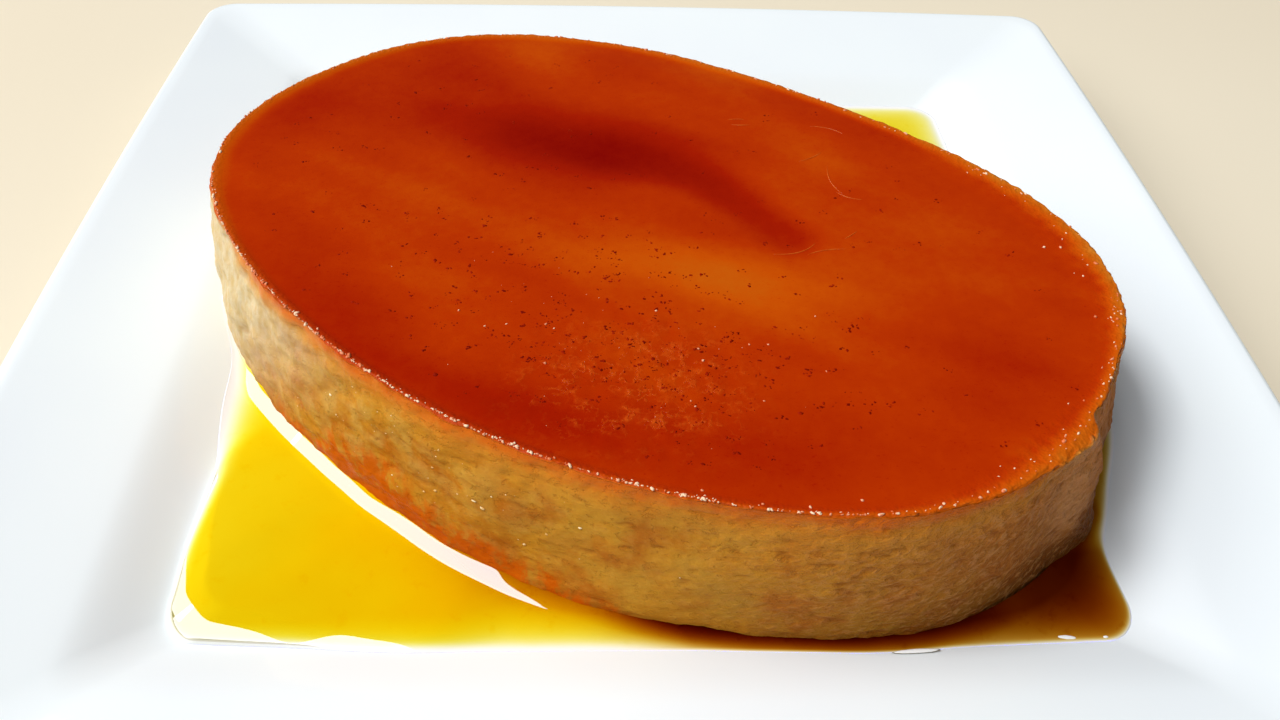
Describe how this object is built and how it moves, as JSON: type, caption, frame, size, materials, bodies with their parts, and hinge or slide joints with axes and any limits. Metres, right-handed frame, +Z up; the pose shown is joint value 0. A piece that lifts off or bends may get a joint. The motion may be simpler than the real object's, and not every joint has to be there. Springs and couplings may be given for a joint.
{
  "type": "creme caramel flan on a square plate",
  "caption": "Oval creme caramel flan with a glossy soaked caramel top, lying turned on a square white porcelain plate with syrup pooled in its well.",
  "frame": {"origin": "centre of the plate's foot, on the table", "axes": "+Z up; the plate's sides run along X and Y; the flan's long axis lies 29.6 degrees clockwise from +X, seen from above"},
  "size_m": [0.2378, 0.2378, 0.0398],
  "materials": {
    "porcelain": "white glaze, glossy",
    "custard": "moist baked custard, porous, satin",
    "caramel": "caramel-soaked, wet gloss",
    "syrup": "clear amber syrup, wet gloss"
  },
  "bodies": {
    "root": {"plate": "porcelain", "custard": "custard", "caramel_layer": "caramel", "syrup_back": "syrup", "syrup_front_left": "syrup", "syrup_front_right": "syrup"}
  },
  "joints": []
}
